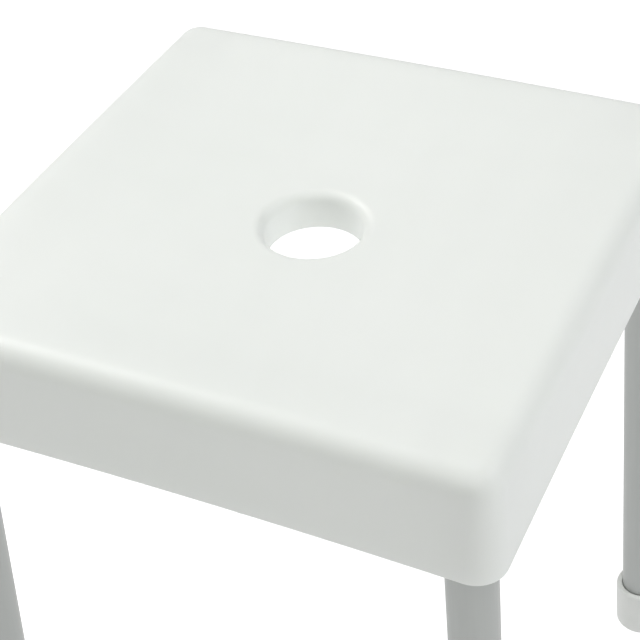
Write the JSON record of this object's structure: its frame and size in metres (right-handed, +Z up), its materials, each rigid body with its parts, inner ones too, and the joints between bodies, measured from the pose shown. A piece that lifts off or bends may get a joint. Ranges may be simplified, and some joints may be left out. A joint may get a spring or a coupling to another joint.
{
  "type": "shower stool",
  "caption": "Square moulded shower stool with a dished top, a round hand and drain hole, a deep rounded apron, and splayed tube legs with slip-on foot caps.",
  "frame": {"origin": "on the floor, under the middle of the seat", "axes": "+Z up, +Y to the back, +X to the right seen from the front"},
  "size_m": [0.3458, 0.3428, 0.422],
  "materials": {
    "seat": "white polypropylene, smooth satin moulding",
    "leg_tube": "grey anodised, satin",
    "leg_plug": "grey nylon, as moulded",
    "fixings": "stainless, plain",
    "washers": "stainless, stamped",
    "foot": "white elastomer, matt"
  },
  "bodies": {
    "root": {"seat": "seat", "leg_front_left": "leg_tube", "leg_front_right": "leg_tube", "leg_back_left": "leg_tube", "leg_back_right": "leg_tube", "leg_plug_front_left": "leg_plug", "leg_plug_front_right": "leg_plug", "leg_plug_back_left": "leg_plug", "leg_plug_back_right": "leg_plug", "leg_screw_front_left": "fixings", "leg_screw_front_right": "fixings", "leg_screw_back_left": "fixings", "leg_screw_back_right": "fixings", "foot_washer_front_left": "washers", "foot_washer_front_right": "washers", "foot_washer_back_left": "washers", "foot_washer_back_right": "washers", "foot_front_left": "foot", "foot_front_right": "foot", "foot_back_left": "foot", "foot_back_right": "foot"}
  },
  "joints": []
}
